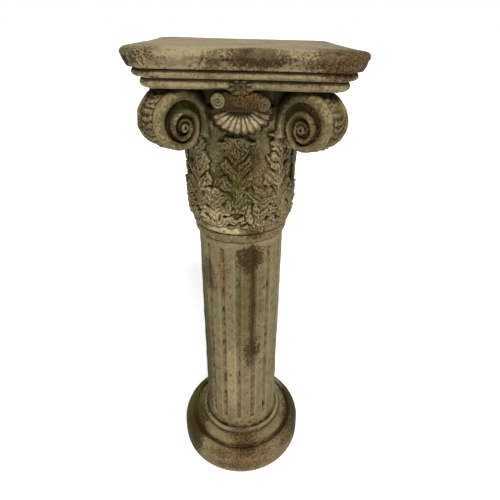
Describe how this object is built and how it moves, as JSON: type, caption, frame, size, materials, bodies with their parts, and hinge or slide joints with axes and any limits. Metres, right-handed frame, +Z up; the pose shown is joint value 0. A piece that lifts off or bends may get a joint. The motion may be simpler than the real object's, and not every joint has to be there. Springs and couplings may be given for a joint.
{
  "type": "column plinth",
  "caption": "Cast stone plinth in the form of a short fluted column with a composite capital, a moulded square top and a round base, heavily weathered.",
  "frame": {"origin": "middle of the round underside, on the floor", "axes": "+Z up along the column's axis, -Y out of the front face, +X to the right seen from the front"},
  "size_m": [0.329, 0.329, 0.9],
  "materials": {
    "weathered_stone": "matte cast stone with a worn buff surface, dark patina in the hollows, rust-brown stains and moss"
  },
  "bodies": {
    "root": {"column_plinth": "weathered_stone"}
  },
  "joints": []
}
